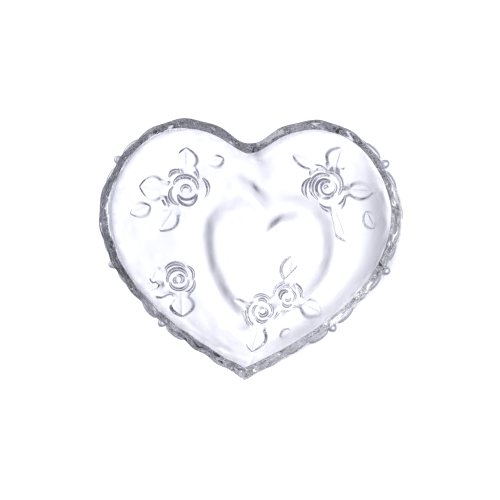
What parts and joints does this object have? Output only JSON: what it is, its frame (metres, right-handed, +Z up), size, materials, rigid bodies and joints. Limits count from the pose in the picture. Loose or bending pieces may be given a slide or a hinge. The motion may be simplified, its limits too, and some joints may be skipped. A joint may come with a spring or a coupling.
{
  "type": "heart-shaped glass trinket dish",
  "caption": "Open heart-shaped dish of clear pressed glass for trinkets, with moulded roses and leaves, a scalloped rim and a heart-shaped foot ring.",
  "frame": {"origin": "on the table, under the middle of the dish's box", "axes": "+Z up, +Y towards the heart's two lobes and its notch, +X to the right when the tip points to the viewer"},
  "size_m": [0.15, 0.127, 0.034],
  "materials": {
    "clear_glass": "clear, fire-polished"
  },
  "bodies": {
    "root": {"bowl": "clear_glass", "rim_band": "clear_glass", "foot_ring": "clear_glass", "rose_upper_left": "clear_glass", "leaf_upper_left_1": "clear_glass", "leaf_upper_left_2": "clear_glass", "leaf_upper_left_3": "clear_glass", "bud_upper_left_1": "clear_glass", "bud_upper_left_2": "clear_glass", "rose_upper_right": "clear_glass", "leaf_upper_right_1": "clear_glass", "leaf_upper_right_2": "clear_glass", "leaf_upper_right_3": "clear_glass", "bud_upper_right_1": "clear_glass", "bud_upper_right_2": "clear_glass", "rose_lower_left": "clear_glass", "leaf_lower_left_1": "clear_glass", "leaf_lower_left_2": "clear_glass", "bud_lower_left_1": "clear_glass", "rose_lower_centre": "clear_glass", "leaf_lower_centre_1": "clear_glass", "leaf_lower_centre_2": "clear_glass", "bud_lower_centre_1": "clear_glass", "rose_lower_right": "clear_glass", "leaf_lower_right_1": "clear_glass", "leaf_lower_right_2": "clear_glass", "rim_bead_right_upper": "clear_glass", "rim_leaf_right_upper_1": "clear_glass", "rim_leaf_right_upper_2": "clear_glass", "rim_bead_left_upper": "clear_glass", "rim_leaf_left_upper_1": "clear_glass", "rim_leaf_left_upper_2": "clear_glass", "rim_bead_right_side": "clear_glass", "rim_leaf_right_side_1": "clear_glass", "rim_leaf_right_side_2": "clear_glass", "rim_bead_left_side": "clear_glass", "rim_leaf_left_side_1": "clear_glass", "rim_leaf_left_side_2": "clear_glass", "rim_bead_right_lower": "clear_glass", "rim_leaf_right_lower_1": "clear_glass", "rim_leaf_right_lower_2": "clear_glass", "rim_bead_left_lower": "clear_glass", "rim_leaf_left_lower_1": "clear_glass", "rim_leaf_left_lower_2": "clear_glass"}
  },
  "joints": []
}
